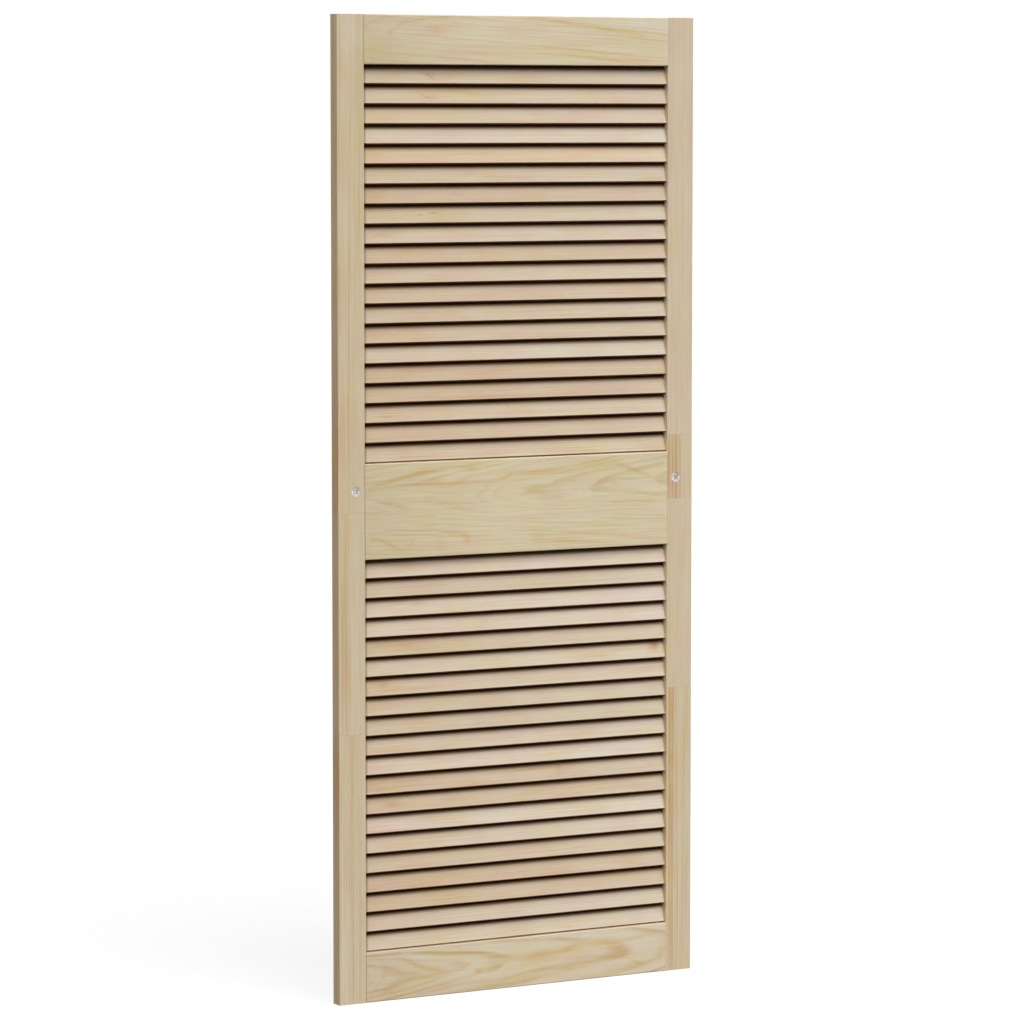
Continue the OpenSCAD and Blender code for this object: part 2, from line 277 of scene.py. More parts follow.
def makePineGrain():
    # growth rings round a pith line, cut by the board: arcs on flat-sawn faces, stripes on edge-sawn ones
    tree = bpy.data.node_groups.new("pineGrain", "ShaderNodeTree")
    face = tree.interface
    face.new_socket("Board", in_out="INPUT", socket_type="NodeSocketVector")
    face.new_socket("End Facing", in_out="INPUT", socket_type="NodeSocketFloat")
    for name, value in boardDefaults.items():
        face.new_socket(name, in_out="INPUT", socket_type="NodeSocketFloat").default_value = value
    for name in ("Early", "Late"):
        face.new_socket(name, in_out="INPUT", socket_type="NodeSocketColor")
    face.new_socket("Color", in_out="OUTPUT", socket_type="NodeSocketColor")
    for name in ("Roughness", "Height"):
        face.new_socket(name, in_out="OUTPUT", socket_type="NodeSocketFloat")
    given = tree.nodes.new("NodeGroupInput").outputs
    result = tree.nodes.new("NodeGroupOutput").inputs

    seedPlace = joined(tree, *[times(tree, given["Seed"], step) for step in grainLook["seedSteps"]])
    place = vectorCalc(tree, "ADD", given["Board"], seedPlace)
    across, deep, along = parted(tree, given["Board"])
    rings, knot = addRings(tree, given, place, across, deep, along)
    lateBand, lateness = addLateWood(tree, given, place, across, rings)

    fibre = noise(tree, place, grainLook["fibre"])
    streak = noise(tree, place, grainLook["streak"])
    mottleParts = noiseParts(tree, place, grainLook["mottle"])
    dash = noise(tree, place, grainLook["dash"])

    # pink and yellow clouds over the wood's own two colours
    colour = tinted(tree, lateness, given["Early"], given["Late"])
    for part, limits, stain in zip(mottleParts, grainLook["mottleRamps"], grainLook["mottleColours"]):
        colour = stained(tree, times(tree, ramp(tree, part, *limits), given["Mottle"]), colour, stain)
    shade = plus(tree, times(tree, minus(tree, fibre, 0.5), grainLook["fibreShade"]),
                 times(tree, minus(tree, streak, 0.5), grainLook["streakShade"]), 1.0)
    powers = [calc(tree, "POWER", shade, power) for power in grainLook["shadePowers"]]
    colour = stained(tree, 1.0, colour, joined(tree, shade, *powers))
    dashes = times(tree, ramp(tree, dash, *grainLook["dashRamp"]), grainLook["dashStrength"])
    colour = stained(tree, dashes, colour, grainLook["dashColour"])
    knotSpot = calc(tree, "MULTIPLY", calc(tree, "POWER", knot, 2.0), grainLook["knotSpot"], clamp=True)
    colour = stained(tree, knotSpot, colour, grainLook["knotColour"])
    endGrain = ramp(tree, given["End Facing"], *grainLook["endRamp"])
    tree.links.new(stained(tree, endGrain, colour, grainLook["endColour"]), result["Color"])

    share = grainLook["roughness"]
    rough = plus(tree, share["plain"], times(tree, fibre, share["fibre"]))
    rough = minus(tree, rough, times(tree, lateness, share["late"]))
    tree.links.new(plus(tree, rough, times(tree, endGrain, share["end"])), result["Roughness"])

    # raised late wood and open fibres, in mm
    share = grainLook["height"]
    height = plus(tree, times(tree, lateBand, share["late"]), times(tree, fibre, share["fibre"]))
    tree.links.new(minus(tree, height, times(tree, dashes, share["dash"])), result["Height"])
    return tree


pineGrain = makePineGrain()

# marks multiply the wood's colour, so only pale ones lighten it
markLook = {"fibre": {"scales": (0.9, 0.9, 0.03), "detail": 3.0, "shift": 17.0}, "fray": 1.6}
markColours = {
    "amber": (0.91, 0.75, 0.53), "ochre": (0.93, 0.82, 0.56), "brown": (0.72, 0.56, 0.42),
    "red": (0.93, 0.72, 0.60), "grey": (0.93, 0.93, 0.97), "edge": (1.0, 0.88, 0.71),
    # dull is painted shade, laid over the highlight along the rails' top round-overs
    "olive": (0.91, 0.91, 0.78), "pink": (0.99, 0.88, 0.88), "dull": (0.80, 0.75, 0.71),
    "pale": (1.045, 1.10, 1.225),
}


def addMarks(tree, colour, board, across, along, marks):
    # each mark: place along and across, half length, half width, lean in degrees, colour, strength
    fibre = noise(tree, board, markLook["fibre"])
    fray = times(tree, minus(tree, fibre, 0.5), markLook["fray"])
    for markAlong, markAcross, length, width, lean, colourName, strength in marks:
        turn = math.radians(lean)
        fromAlong = minus(tree, along, markAlong)
        fromAcross = minus(tree, across, markAcross)
        lengthwise = plus(tree, times(tree, fromAlong, math.cos(turn) / length),
                          times(tree, fromAcross, math.sin(turn) / length))
        sidewise = minus(tree, times(tree, fromAcross, math.cos(turn) / width),
                         times(tree, fromAlong, math.sin(turn) / width))
        amount = times(tree, hill(tree, lengthwise, plus(tree, sidewise, fray)), strength)
        colour = stained(tree, amount, colour, markColours[colourName] + (1.0,))
    return colour


# the zigzag of the fingers is a wave that runs past its tips and is cut off there
glueLook = {"fingerPitch": 4.2, "fingerHalf": 5, "firstTurn": 0.25, "waveTop": 1.4, "waveFall": 5.6,
            "halfWidth": 0.55, "onEdges": 0.5, "onFaces": 0.2, "colour": (0.62, 0.50, 0.38, 1.0)}


def addGlueLines(tree, colour, deep, along, heights):
    # the fingers zigzag from front to back, and the glue shows as a thin dark line along them
    facePlace = doorSizes["thickness"] / 2
    turns = over(tree, plus(tree, deep, facePlace), glueLook["fingerPitch"])
    turns = calc(tree, "FRACT", plus(tree, turns, glueLook["firstTurn"]))
    fromTurn = calc(tree, "ABSOLUTE", minus(tree, turns, 0.5))
    zigzag = minus(tree, glueLook["waveTop"], times(tree, fromTurn, glueLook["waveFall"]))
    zigzag = calc(tree, "MINIMUM", calc(tree, "MAXIMUM", zigzag, -1.0), 1.0)
    level = minus(tree, along, times(tree, zigzag, glueLook["fingerHalf"]))
    # it is fainter on the planed faces than on the edges
    fromMiddle = calc(tree, "ABSOLUTE", deep)
    shown = ramp(tree, fromMiddle, facePlace - 1, facePlace, glueLook["onEdges"], glueLook["onFaces"])
    for height in heights:
        line = hill(tree, over(tree, minus(tree, level, height), glueLook["halfWidth"]))
        colour = stained(tree, times(tree, line, shown), colour, glueLook["colour"])
    return colour


# painted shade, a painted shadow and a painted highlight on the slats
def addPaintedShading(tree, colour, across, deep, along, paintedShading):
    front = ramp(tree, deep, *paintedShading["front"], 1.0, 0.0)
    # painted shadow of the left stile, in the front corner beside it, which reaches further out where the
    # slat runs back
    fromStile = minus(tree, along, times(tree, across, paintedShading["cornerSpread"]))
    corner = ramp(tree, fromStile, *paintedShading["corner"], 1.0, 0.0)
    colour = stained(tree, times(tree, front, corner), colour, paintedShading["cornerColour"])
    # painted highlight: the nose is a little paler
    colour = stained(tree, ramp(tree, across, *paintedShading["noseHighlight"]), colour, paintedShading["noseHighlightColour"])
    # painted shade, where the front of a slat runs up behind the slat above, and under its own nose
    hidden = times(tree, front, ramp(tree, across, *paintedShading["crease"]))
    underNose = ramp(tree, across, *paintedShading["nose"], paintedShading["noseShare"], 0.0)
    amount = times(tree, calc(tree, "MAXIMUM", hidden, underNose), paintedShading["strength"])
    # the painted shade begins as a warm tint
    warmth = calc(tree, "MULTIPLY", amount, paintedShading["shadeWarmReach"], clamp=True)
    colour = stained(tree, warmth, colour, paintedShading["shadeWarmColour"])
    # the sheen falls where the shade is painted
    sheen = times(tree, minus(tree, 1.0, amount), grainLook["sheen"])
    return stained(tree, amount, colour, paintedShading["colour"]), sheen


def addEndDarkening(tree, colour, along, endDarkening):
    # one end is darker than the other; on the slats this is painted shade, as the light falls more from the
    # other end
    amount = ramp(tree, along, endDarkening["from"], endDarkening["to"], 1.0, 0.0, smooth=False)
    return stained(tree, amount, colour, endDarkening["colour"])


def makePine(name, settings, directions, origin, marks=(), glueLines=(), endDarkenings=(), paintedShading=None):
    # directions are the board's across, deep and along, as unit vectors in the row frame
    material, tree = newMaterial(name)
    place = addNode(tree, "ShaderNodeTexCoord")
    boardPlace = inMm(tree, vectorCalc(tree, "SUBTRACT", place.outputs["Object"], origin))
    across, deep, along = [dot(tree, boardPlace, direction) for direction in directions]
    board = joined(tree, across, deep, along)
    facing = calc(tree, "ABSOLUTE", dot(tree, place.outputs["Normal"], directions[2]))
    grain = addNode(tree, "ShaderNodeGroup", node_tree=pineGrain)
    for key, value in {"Board": board, "End Facing": facing, **settings}.items():
        plug(tree, grain.inputs[key], value)
    colour = grain.outputs["Color"]
    if marks:
        colour = addMarks(tree, colour, board, across, along, marks)
    if glueLines:
        colour = addGlueLines(tree, colour, deep, along, glueLines)
    # darker towards one end, which on the slats is painted shade
    for endDarkening in endDarkenings:
        colour = addEndDarkening(tree, colour, along, endDarkening)
    sheen = grainLook["sheen"]
    # the slats get painted shade, shadow and highlight
    if paintedShading:
        colour, sheen = addPaintedShading(tree, colour, across, deep, along, paintedShading)
    addSurface(tree, colour, grain.outputs["Roughness"], grain.outputs["Height"], grainLook["bump"],
               {"IOR": 1.5, "Specular IOR Level": sheen})
    return material


# along from the floor, and across from the middle of the stile
stileLook = {
    "left_stile_lower": {
        "Seed": 1.0, "Ring Width": 3.6, "Pith Across": -95.0, "Pith Deep": 30.0, "Tilt Across": 0.004,
        "Contrast": 0.42, "Stripe Centre": -12.0, "Stripe Spread": 12.0, "Stripe Strength": 0.4,
        "Mottle": 0.45},
    "left_stile_middle": {
        "Seed": 2.0, "Ring Width": 4.1, "Pith Across": -120.0, "Pith Deep": 24.0,
        "Contrast": 0.16, "Stripe Centre": -9.0, "Stripe Spread": 7.0, "Stripe Strength": 0.7,
        "Early": linear(211, 197, 168)},
    "left_stile_upper": {
        "Seed": 3.0, "Ring Width": 4.4, "Pith Across": 110.0, "Pith Deep": 46.0, "Tilt Across": 0.005,
        "Contrast": 0.3, "Stripe Centre": -10.0, "Stripe Spread": 9.0, "Stripe Strength": 0.3},
    "right_stile_lower": {
        "Seed": 4.0, "Ring Width": 3.3, "Pith Across": -105.0, "Pith Deep": 22.0,
        "Contrast": 0.34, "Stripe Centre": -13.0, "Stripe Spread": 8.0, "Stripe Strength": 0.75,
        "Early": linear(213, 198, 168)},
    "right_stile_middle": {
        "Seed": 5.0, "Ring Width": 4.6, "Pith Across": 130.0, "Pith Deep": 44.0,
        "Contrast": 0.14, "Stripe Centre": -20.0, "Stripe Spread": 6.0, "Stripe Strength": 0.2,
        "Early": linear(213, 198, 169)},
    "right_stile_cam_length": {
        "Seed": 6.0, "Ring Width": 5.4, "Pith Across": -88.0, "Pith Deep": 16.0,
        "Contrast": 0.25, "Stripe Centre": -10.0, "Stripe Spread": 11.0, "Stripe Strength": 0.45,
        "Early": linear(214, 198, 168), "Late": linear(188, 148, 92)},
    "right_stile_upper": {
        "Seed": 7.0, "Ring Width": 4.2, "Pith Across": 140.0, "Pith Deep": 52.0, "Tilt Across": 0.004,
        "Contrast": 0.18, "Stripe Centre": 0.0, "Stripe Spread": 10.0, "Stripe Strength": 0.08,
        "Early": linear(214, 198, 171)},
}
stileCommon = {"Early": linear(211, 196, 166), "Late": linear(194, 160, 108), "Wander": 2.5, "Mottle": 0.7,
               "Tilt Deep": 0.003}
stileJoints = {"left": (392, 711), "right": (428, 711, 806)}
stileMarks = {
    "left_stile_upper": [
        (800, -12, 70, 2.5, 0, "amber", 0.5), (1150, 12, 160, 3, 0, "ochre", 0.4),
        (1330, 14, 160, 8, 0, "olive", 0.45), (830, -16, 130, 1.4, 0, "brown", 0.28),
        (830, 2, 130, 3, 0, "brown", 0.2), (1290, 13, 110, 4, 0, "amber", 0.15),
        (1395, -6, 38, 22, 0, "pale", 1.0), (760, -22.2, 150, 1.3, 0, "red", 0.8),
        (1100, -22.2, 600, 1.3, 0, "edge", 1.0)],
    "left_stile_middle": [
        (550, -13, 190, 7, 0, "amber", 0.42), (475, -16.5, 90, 1.6, 0, "brown", 0.24),
        (475, -10, 90, 1.6, 0, "brown", 0.26), (475, -4, 90, 1.4, 0, "brown", 0.2),
        (630, -12, 80, 1.4, 0, "brown", 0.2), (630, -6, 80, 1.2, 0, "brown", 0.16),
        (590, -15, 75, 4, 0, "olive", 0.4), (590, -14, 75, 4, 0, "ochre", 0.2),
        (560, 16, 120, 5, 0, "grey", 0.6), (560, -22.2, 300, 1.3, 0, "edge", 1.0)],
    "left_stile_lower": [
        (110, 3, 90, 6, 0, "pink", 0.35), (60, 12, 120, 2.5, 0, "amber", 0.4),
        (340, -22.2, 70, 1.3, 0, "red", 0.8), (290, -1.5, 110, 2.4, 0, "amber", 0.45),
        (290, 10, 110, 3, 0, "brown", 0.1), (110, -1, 90, 1.8, 0, "brown", 0.2),
        (368, -6, 30, 8, 0, "amber", 0.25), (368, 6, 35, 14, 0, "pink", 0.35),
        (90, -15, 100, 8, 0, "pale", 0.9), (200, -22.2, 400, 1.3, 0, "edge", 1.0)],
    "right_stile_cam_length": [
        (758, -19, 60, 1.7, 0, "brown", 0.72), (758, -12, 60, 1.3, 0, "brown", 0.52),
        (758, -5.2, 60, 1.6, 0, "brown", 0.55), (758, 1, 60, 1.6, 0, "brown", 0.2),
        (758, -11, 90, 9, 0, "amber", 0.45)],
    "right_stile_lower": [
        (110, -15, 110, 2.2, 0, "amber", 0.5), (320, -16, 110, 2.6, 0, "amber", 0.7),
        (320, -10.5, 110, 2.0, 0, "brown", 0.48), (110, -11.5, 110, 1.6, 0, "brown", 0.25),
        (320, -4, 110, 1.6, 0, "amber", 0.4), (110, -2, 100, 1.6, 0, "brown", 0.34),
        (110, 7, 100, 1.8, 0, "brown", 0.22), (320, 9.5, 110, 1.6, 0, "brown", 0.28),
        (400, -8, 35, 8, 0, "amber", 0.3), (400, 14, 30, 5, 0, "amber", 0.3),
        (250, -15, 280, 5, 0, "amber", 0.3)],
}
upright = (Vector((1, 0, 0)), Vector((0, 1, 0)), Vector((0, 0, 1)))
stileMiddle = (doorSizes["width"] - doorSizes["stileWidth"]) / 2000
stileMiddles = {"left": (-stileMiddle, 0, 0), "right": (stileMiddle, 0, 0)}
for nodeName, look in stileLook.items():
    side = nodeName.split("_")[0]
    dress(nodeName, makePine("pine_" + nodeName, {**stileCommon, **look}, upright, stileMiddles[side],
                             marks=stileMarks.get(nodeName, ()), glueLines=stileJoints[side]))
print("stiles grained:", len(stileLook))

railLook = {
    "top_rail": {
        "Seed": 11.0, "Ring Width": 4.4, "Pith Across": -60.0, "Pith Deep": 40.0,
        "Tilt Across": -0.05, "Tilt Deep": 0.02, "Wander": 4.0, "Contrast": 0.3},
    "middle_rail": {
        "Seed": 12.0, "Ring Width": 4.4, "Pith Across": 22.0, "Pith Deep": 46.0,
        "Tilt Across": 0.03, "Tilt Deep": -0.06, "Wander": 7.0, "Contrast": 0.42,
        "Early": linear(220, 209, 178)},
    "bottom_rail": {
        "Seed": 13.0, "Ring Width": 7.0, "Pith Across": 2.0, "Pith Deep": 36.0,
        "Tilt Across": 0.02, "Tilt Deep": 0.07, "Wander": 8.0, "Contrast": 0.6,
        "Early": linear(220, 208, 182), "Late": linear(194, 160, 96)},
}
railCommon = {"Early": linear(222, 211, 182), "Late": linear(198, 168, 104), "Wander": 8.0, "Mottle": 0.8}
# the rails are darker towards their left ends
railEndDarkenings = ({"from": -250, "to": 250, "colour": (0.985, 0.965, 0.94, 1.0)},
             {"from": -260, "to": -60, "colour": (0.90, 0.885, 0.865, 1.0)})
# along from the middle of the door, and across from the middle of the rail
railMarks = {
    "top_rail": [
        (-249.5, 19.5, 10.1, 2, 34, "olive", 0.8), (-231, 27.5, 12.8, 2, 15, "olive", 0.8),
        (-210.5, 10.5, 6, 3, 49, "olive", 0.9), (-198, 19.5, 11.5, 2.5, 29, "olive", 0.9),
        (-169.5, 28, 24.4, 2.5, 9, "ochre", 0.8), (-138, 14.5, 10.3, 6, 13, "amber", 0.45),
        (-127.5, 32, 17.4, 2, 2, "amber", 0.6), (19.5, 31.5, 20.7, 4, 0, "amber", 0.45),
        (77.5, 26.5, 47.9, 3, -7, "ochre", 0.9), (145.5, 18.5, 28.8, 3, -7, "ochre", 0.8),
        (188.5, 12.5, 19.9, 5, -10, "ochre", 0.6), (-32, -9.5, 56, 2, -1, "ochre", 0.5),
        (-7, -18, 84, 1.8, -1, "ochre", 0.5), (119.5, -23.5, 57.9, 2, -4, "amber", 0.7),
        (94.5, -13, 85.9, 1.8, -4, "ochre", 0.5), (198.5, -26, 30.9, 3, -5, "ochre", 0.6),
        (-225, -24, 60, 14, 0, "olive", 0.7), (-60, -24, 180, 10, 0, "ochre", 0.2),
        (140, -24, 40, 9, 0, "amber", 0.25), (-50, 25, 35, 10, 0, "pale", 0.5),
        # the dull mark is painted shade over the highlight on the rail's top round-over
        (215, 24, 45, 11, 0, "pale", 0.8), (0, 35.6, 600, 1.5, 0, "dull", 1.0)],
    "middle_rail": [
        (-213, 42.5, 36.8, 2.5, 13, "ochre", 0.9), (-153, 54.5, 31.8, 4, 9, "ochre", 1.0),
        (-79, 56, 12.3, 5, 0, "ochre", 0.8), (-216.5, 34.5, 39.9, 2, 4, "amber", 0.5),
        (-141, 36.5, 54.9, 2.5, -1, "ochre", 0.9), (-71.5, 37, 43.1, 2.5, 1, "ochre", 0.7),
        (-20.5, 43, 15.1, 3, 22, "ochre", 0.8), (39, 47, 57.1, 4.5, -1, "ochre", 0.9),
        (138.5, 56, 37.6, 7, 3, "ochre", 0.9), (194, 45, 34.7, 3.5, -21, "amber", 0.7),
        (189, 31, 12.3, 1.8, 0, "brown", 0.35), (-148, 25, 55.2, 2, -6, "amber", 0.4),
        (-120, 8, 60.6, 2.5, -4, "amber", 0.45), (-219.5, 9.5, 26.9, 2.5, -21, "grey", 1.0),
        (-232.5, 3.5, 20.5, 2, -17, "grey", 0.9), (138, -34.5, 115.8, 2.5, -5, "olive", 0.7),
        (196, -28.5, 66.2, 2.5, -3, "olive", 0.8), (136.5, -48.5, 133.6, 3, -6, "ochre", 0.6),
        (-112, -35.5, 29.6, 3, -10, "ochre", 0.8), (-86.5, -47, 8.3, 5, -70, "ochre", 0.8),
        (32, -48, 11.2, 9, 0, "ochre", 0.5), (97.5, -57.5, 63.4, 2.5, -4, "ochre", 0.8),
        (-239, -39, 11.4, 2.5, -11, "ochre", 0.8), (-213, -49, 20, 3, -27, "ochre", 0.8),
        (-132, -47, 11.7, 9, -17, "amber", 0.3), (-177, -46.5, 7, 3, 61, "olive", 0.8),
        # the dull mark is painted shade over the highlight on the rail's top round-over
        (241, 50, 12.3, 6, 0, "olive", 0.7), (0, 68.6, 600, 1.2, 0, "dull", 0.5)],
    "bottom_rail": [
        (-226.5, 19.5, 10.7, 4, -47, "edge", 0.7), (-223.5, 5.5, 11.5, 4, 76, "edge", 0.7),
        (-235.5, -13.5, 16.3, 3, 49, "edge", 0.6), (-176, 14, 22.3, 3.5, -25, "ochre", 0.9),
        (-140, 1.5, 20.7, 4, -13, "ochre", 1.0), (-153, -7, 31.5, 3, 5, "ochre", 0.9),
        (-208.5, -18, 32.2, 3, 17, "ochre", 0.8), (-69, -6.5, 6.7, 4, 0, "ochre", 1.0),
        (-31, 11, 36.2, 4, -8, "ochre", 0.8), (34.5, 8, 37.6, 6, 3, "ochre", 1.0),
        (85.5, 13.5, 20.1, 5, 13, "ochre", 0.9), (137, 17, 38.1, 6, -1, "ochre", 0.9),
        (206, 20, 39.4, 4, 6, "ochre", 0.6), (-132, -27.5, 37.2, 3, 7, "amber", 0.6),
        (-66, -24, 37, 3, -1, "olive", 0.7), (-7.5, -20, 29, 2.5, 10, "ochre", 0.8),
        (43, -13.5, 28.1, 3, 5, "amber", 0.7), (102.5, -11, 38.7, 3, 2, "amber", 0.45),
        (163, -7.5, 29.1, 3, -2, "amber", 0.6), (178, 0.5, 23.7, 8, -19, "edge", 0.6),
        (202.5, -18.5, 16.5, 2.5, -24, "ochre", 0.8), (243, -9.5, 7.8, 9, 0, "amber", 0.45),
        (28, 0, 30, 10, 0, "amber", 0.45), (95, 0, 30, 10, 0, "ochre", 0.4),
        (60, -25, 330, 10, 0, "amber", 0.2), (-165, -5, 30, 14, 0, "ochre", 0.2),
        (-155, 24, 50, 9, 0, "pale", 0.9), (120, 25, 100, 9, 0, "pale", 0.55),
        # the dull mark is painted shade over the highlight on the rail's top round-over
        (0, 36.1, 600, 1.2, 0, "dull", 1.0)],
}
lying = (Vector((0, 0, 1)), Vector((0, 1, 0)), Vector((1, 0, 0)))
for nodeName, look in railLook.items():
    middle = doorSizes["railMiddles"][nodeName] / 1000
    dress(nodeName, makePine("pine_" + nodeName, {**railCommon, **look}, lying, (0, 0, middle),
                             marks=railMarks[nodeName], endDarkenings=railEndDarkenings))
print("rails grained:", len(railLook))

# pairs are the limits between which each slat's own value is drawn
slatLook = {
    "randomSeed": 20,
    "firstSeed": 30.0,
    "seedStep": 1.37,
    "ringWidth": (2.4, 4.2),
    "pithAcross": (20, 90),
    "pithDeep": (15, 70),
    "tilt": (-0.02, 0.02),
    "wander": (1.5, 4.0),
    "contrast": (0.15, 0.5),
    "mottle": 0.95,
    "early": (199, 184, 163),
    "late": (187, 160, 131),
    "tintSpread": 0.8,
    "warmth": (0.6, -0.2, -0.9),
    # painted shade: the slats are darker and warmer towards their left ends, as the light falls more from
    # the right
    "endDarkening": {"from": -250, "to": 250, "colour": (0.927, 0.878, 0.809, 1.0)},
}
# pairs are the limits in mm between which each painted shade and the painted highlight set in
slatPaintedShading = {
    "front": (-1.5, 0.5),
    "cornerSpread": 0.16,
    "corner": (-248.8, -244.6),
    "cornerColour": (0.54, 0.49, 0.42, 1.0),
    "noseHighlight": (-13.5, -16.5),
    "noseHighlightColour": (1.06, 1.06, 1.06, 1.0),
    "crease": (0.6, 8.4),
    "nose": (-17.9, -17.2),
    "noseShare": 0.8,
    "strength": 0.97,
    "shadeWarmReach": 2.2,
    "shadeWarmColour": (1.0, 0.95, 0.86, 1.0),
    "colour": (0.20, 0.08, 0.03, 1.0),
}
# the lowest slat of each panel stands on a rail, with the painted shade under its nose reaching a little
# further up
lowestNose = (-17.5, -16.6)
# each slat is its own board, a little paler or warmer than the next
slatTints = {
    "pale": {"change": (3, 7, 11), "upper": (4,), "lower": (1, 3, 4, 11, 14)},
    "light": {"change": (0, 4, 6), "upper": (15,), "lower": (6, 15, 19, 20)},
    "clear": {"change": (-1, 1, 3), "upper": (9,), "lower": (7, 10)},
    "plain": {"change": (-1, 0, -1), "upper": (2, 3, 11, 18), "lower": ()},
    "soft": {"change": (-4, -2, -3), "upper": (1, 6, 8, 13, 20), "lower": (2, 5, 8, 9, 16)},
    "tan": {"change": (-5, -5, -6), "upper": (12, 14, 19), "lower": (12, 13)},
    "warm": {"change": (-6, -8, -10), "upper": (7, 10, 16, 17), "lower": (17, 18)},
    "golden": {"change": (3, 0, -5), "upper": (5,), "lower": ()},
}
slatTint = {f"{panel}_slat_{number:02d}": tint["change"]
            for tint in slatTints.values() for panel in ("upper", "lower") for number in tint[panel]}
# what bends the grain, in the order of these settings
knotSettings = ("Knot Along", "Knot Across", "Knot Size", "Knot Strength")
slatKnots = {
    "upper_slat_01": (-142, -5, 6, 1.0),
    "upper_slat_02": (-140, -7, 6, 0.6),
    "lower_slat_03": (-163, 0, 7, 0.9),
    "lower_slat_06": (237, 0, 8, 1.0),
    "lower_slat_07": (-222, -2, 7, 0.9),
}
# across is measured up the slope from the middle of the slat
slatMarks = {
    "upper_slat_01": [
        (-153.5, -3, 7.6, 1.3, -17, "brown", 0.4), (-142.5, -8, 7.6, 1.5, -36, "brown", 0.4),
        (-112.5, -5.5, 21.8, 4, 1, "amber", 0.5), (-61.5, -5.5, 35.3, 2, 3, "amber", 0.3)],
    "upper_slat_02": [
        (-153.5, -6, 8, 1.3, -25, "brown", 0.4), (-141, -9.5, 10.1, 1.3, -3, "brown", 0.3),
        (-74.5, -3.5, 25.3, 2, -4, "amber", 0.5), (-15, -3.5, 41.5, 2.5, 2, "ochre", 0.6),
        (-106.5, 1, 54.3, 3, 0, "amber", 0.35)],
    "upper_slat_08": [
        (-138, -3, 7, 1.0, 0, "brown", 0.9), (-160, -6, 5, 0.8, 0, "brown", 0.7)],
    "upper_slat_09": [
        (-218, -4, 22, 5, 0, "brown", 0.35)],
    "upper_slat_17": [
        (-28, -14, 110, 2, 0, "amber", 0.7)],
    "upper_slat_18": [
        (-14, 1, 0.9, 3.5, 0, "brown", 0.6), (-218, -10, 14, 1, 0, "brown", 0.6)],
    "lower_slat_01": [
        (-183, -4, 30, 5, 0, "amber", 0.6)],
    "lower_slat_05": [
        (-190, -6, 60, 9, 0, "amber", 0.4)],
    "lower_slat_06": [
        (236, 1, 10, 8, 0, "red", 0.75), (239, 1, 5, 7, 0, "red", 0.5),
        (239, 2, 7, 1.5, -8, "brown", 0.35), (134, -8, 24, 3, 0, "amber", 0.4)],
    "lower_slat_07": [
        (-170, -10, 60, 3, 0, "amber", 0.6)],
    "lower_slat_12": [
        (30, 0.5, 45, 1.8, 0, "amber", 1.0), (73, 2, 4, 3, 0, "brown", 0.35),
        (70, -8, 5, 5, 0, "olive", 0.6), (-200, -6, 60, 8, 0, "amber", 0.3),
        (-225, -12, 25, 2.5, 0, "ochre", 0.7)],
    "lower_slat_13": [
        (-208, -6, 12, 4, 0, "brown", 0.5), (-120, -10, 50, 3, 2, "amber", 0.35)],
}
slope = math.hypot(doorSizes["slatRun"], doorSizes["slatRise"])
upSlope = Vector((0, doorSizes["slatRun"], doorSizes["slatRise"])) / slope
throughSlat = Vector((0, doorSizes["slatRise"], -doorSizes["slatRun"])) / slope
slatDirections = (upSlope, throughSlat, Vector((1, 0, 0)))
chance = random.Random(slatLook["randomSeed"])


def drawSlat(number, nodeName):
    # the draws keep this order, so that each slat stays the board that it is
    warm = chance.uniform(-1, 1) * slatLook["tintSpread"]
    light = chance.uniform(-1, 1) * slatLook["tintSpread"]
    change = [light + warm * w + t for w, t in zip(slatLook["warmth"], slatTint[nodeName])]
    settings = {
        "Seed": slatLook["firstSeed"] + number * slatLook["seedStep"],
        "Ring Width": chance.uniform(*slatLook["ringWidth"]),
        "Pith Across": chance.choice((-1, 1)) * chance.uniform(*slatLook["pithAcross"]),
        "Pith Deep": chance.choice((-1, 1)) * chance.uniform(*slatLook["pithDeep"]),
        "Tilt Across": chance.uniform(*slatLook["tilt"]),
        "Tilt Deep": chance.uniform(*slatLook["tilt"]),
        "Wander": chance.uniform(*slatLook["wander"]),
        "Contrast": chance.uniform(*slatLook["contrast"]),
        "Mottle": slatLook["mottle"],
        "Early": linear(*[c + d for c, d in zip(slatLook["early"], change)]),
        "Late": linear(*[c + d for c, d in zip(slatLook["late"], change)]),
    }
    settings.update(zip(knotSettings, slatKnots.get(nodeName, ())))
    return settings


slatNames = sorted(n for n in nodes if "_slat_" in n)
for number, nodeName in enumerate(slatNames):
    low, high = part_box(nodeName)
    nose = lowestNose if nodeName.endswith("20") else slatPaintedShading["nose"]
    # each slat gets painted shade, shadow and highlight, and painted shade towards its left end
    pine = makePine("pine_" + nodeName, drawSlat(number, nodeName), slatDirections, (low + high) / 2,
                    marks=slatMarks.get(nodeName, ()), endDarkenings=(slatLook["endDarkening"],),
                    paintedShading={**slatPaintedShading, "nose": nose})
    dress(nodeName, pine)
print("slats grained:", len(slatNames))

dowelLook = {"Early": linear(214, 184, 146), "Late": linear(196, 158, 116), "Seed": 21.0, "Ring Width": 1.6,
             "Contrast": 0.3, "Pith Across": 40.0, "Mottle": 0.3, "Wander": 1.0}
for nodeName in ("top_rail_dowels", "middle_rail_dowels", "bottom_rail_dowels"):
    dress(nodeName, makePine("beech_" + nodeName, dowelLook, lying, (0, 0, 0)))

